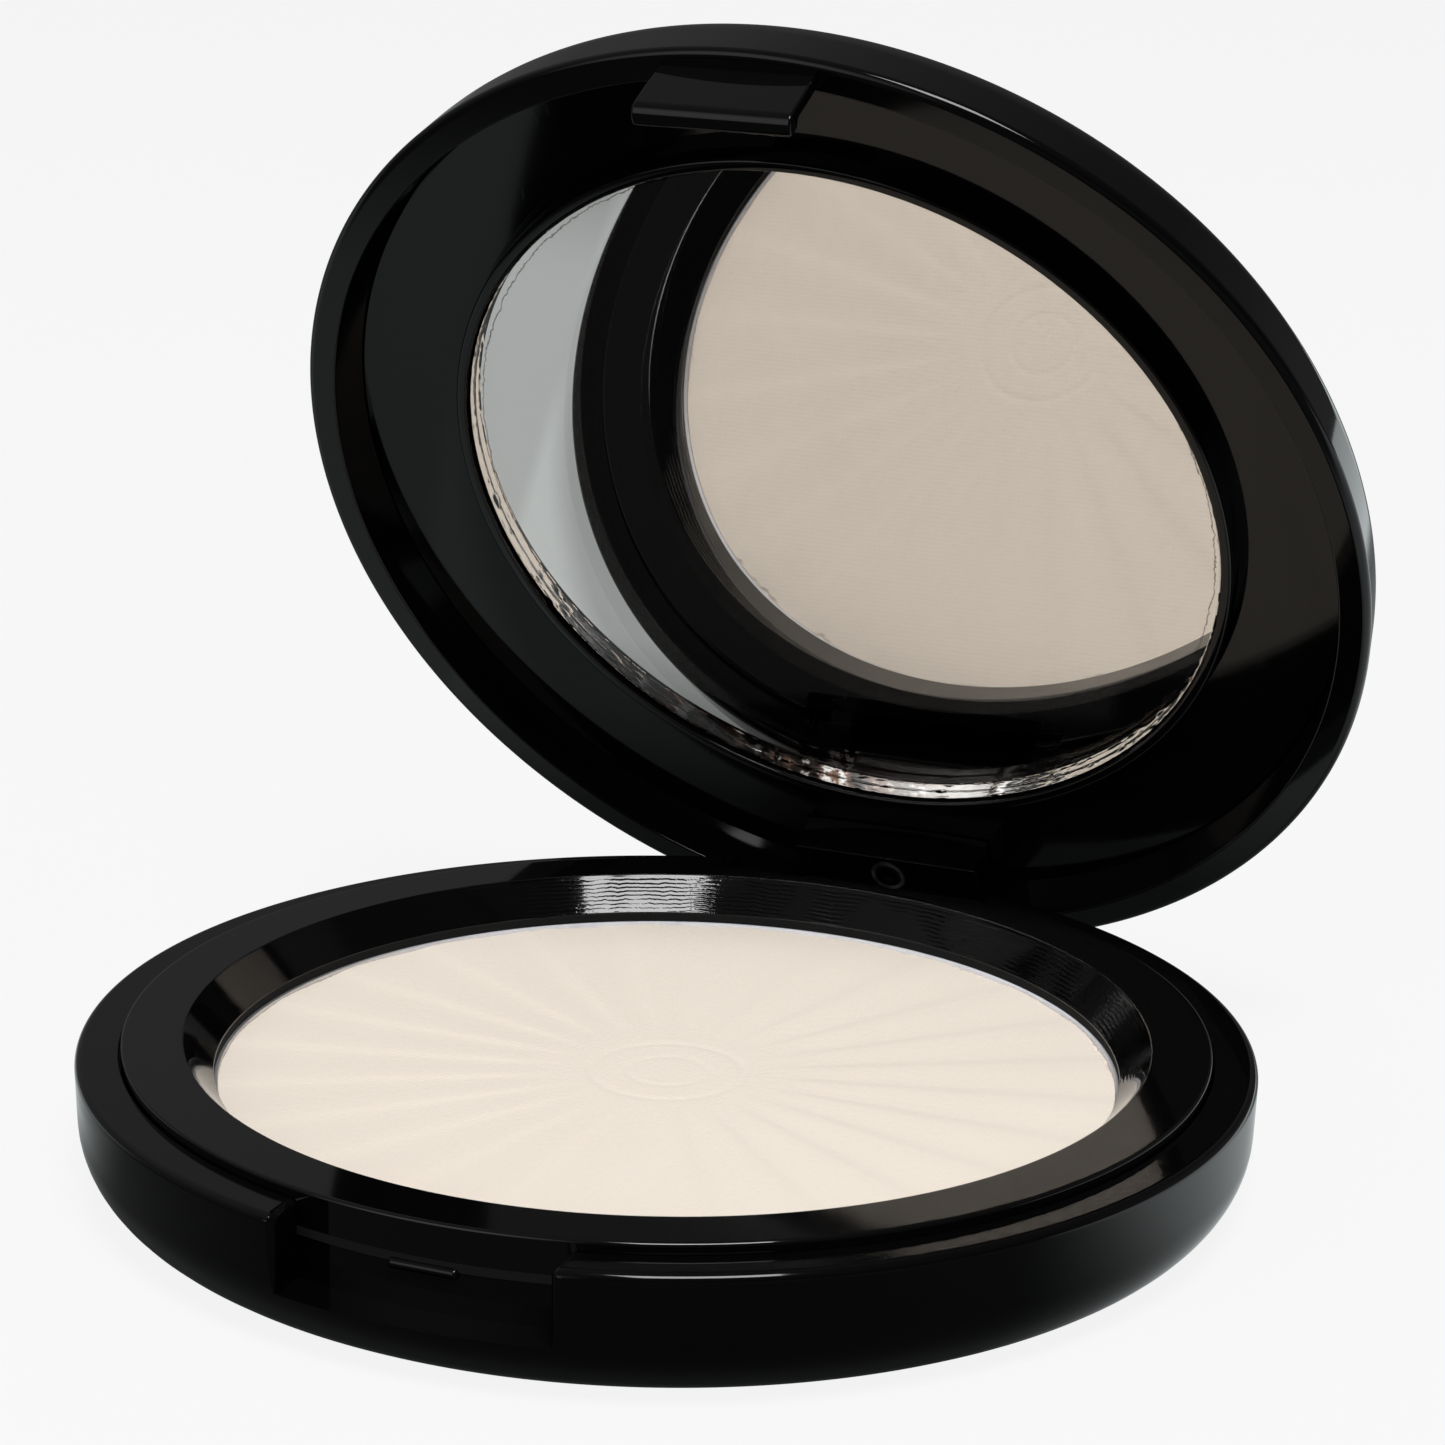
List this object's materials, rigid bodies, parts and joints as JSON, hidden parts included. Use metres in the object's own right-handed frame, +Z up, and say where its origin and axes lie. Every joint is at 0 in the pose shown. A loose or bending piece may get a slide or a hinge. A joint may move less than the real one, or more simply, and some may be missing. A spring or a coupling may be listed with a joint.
{
  "type": "powder compact",
  "caption": "Round black powder compact standing open: pressed cream powder in the base, a round mirror in the hinged lid, and a hook latch at the front",
  "frame": {"origin": "centre of the base's flat underside", "axes": "+Z up out of the powder, +Y towards the hinge at the back, -Y towards the latch, +X along the hinge axis"},
  "size_m": [0.0768, 0.0844, 0.0729],
  "materials": {
    "case_black": "moulded gloss",
    "insert_black": "moulded gloss",
    "pan_metal": "pressed sheet",
    "powder": "pressed powder",
    "adhesive": "dried glue",
    "pin_steel": "drawn wire",
    "mirror_glass": "clear",
    "mirror_silver": "silvered"
  },
  "bodies": {
    "base": {"base_shell": "case_black", "pan_frame": "insert_black", "powder_pan": "pan_metal", "powder_cake": "powder", "pan_adhesive": "adhesive", "hinge_pin": "pin_steel"},
    "lid": {"lid_shell": "case_black", "mirror_frame": "insert_black", "mirror_glass": "mirror_glass", "mirror_silvering": "mirror_silver", "mirror_adhesive": "adhesive"}
  },
  "joints": [
    {"name": "lid_hinge", "type": "hinge", "parent": "base", "child": "lid", "pos_m": [0, 0.0351, 0.00305], "axis": [1, 0, 0], "range_deg": [-20.2, 63.8]}
  ]
}
